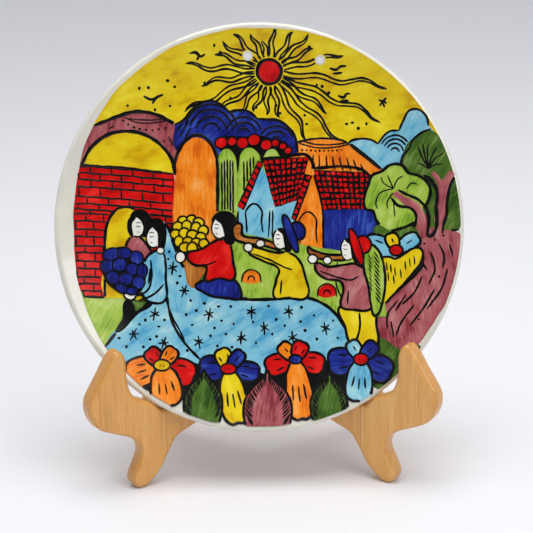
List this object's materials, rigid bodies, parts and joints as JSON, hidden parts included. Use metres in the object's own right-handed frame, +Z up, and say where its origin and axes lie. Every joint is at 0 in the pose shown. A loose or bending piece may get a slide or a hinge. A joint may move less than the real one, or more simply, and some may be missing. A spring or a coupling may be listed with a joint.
{
  "type": "souvenir plate",
  "caption": "Round glazed coupe plate with a painted face and two hanging holes, leaning on a slotted cross of two wooden boards with hooks.",
  "frame": {"origin": "middle of the whole object's footprint, on the surface that the stand's four feet rest on", "axes": "+Z up, -Y the way the plate's face looks, +X to the right of someone who looks at the face"},
  "size_m": [0.2, 0.1004, 0.2201],
  "materials": {
    "plate_glaze": "ivory glaze, glossy, with a hand-painted face",
    "board_wood": "honey-coloured hardwood, upright grain, clear gloss lacquer"
  },
  "bodies": {
    "right_board": {"right_hook_stave": "board_wood", "right_seat_stave": "board_wood", "right_arm_stave": "board_wood", "right_rear_leg_stave": "board_wood"},
    "left_board": {"left_hook_stave": "board_wood", "left_seat_stave": "board_wood", "left_arm_stave": "board_wood", "left_rear_leg_stave": "board_wood"},
    "plate": {"plate": "plate_glaze"}
  },
  "joints": [
    {"name": "left_board_lift", "type": "slide", "parent": "right_board", "child": "left_board", "axis": [0, 0, 1], "range_m": [0, 0.04]},
    {"name": "plate_lift", "type": "slide", "parent": "left_board", "child": "plate", "axis": [0, 0, 1], "range_m": [0, 0.05]}
  ]
}
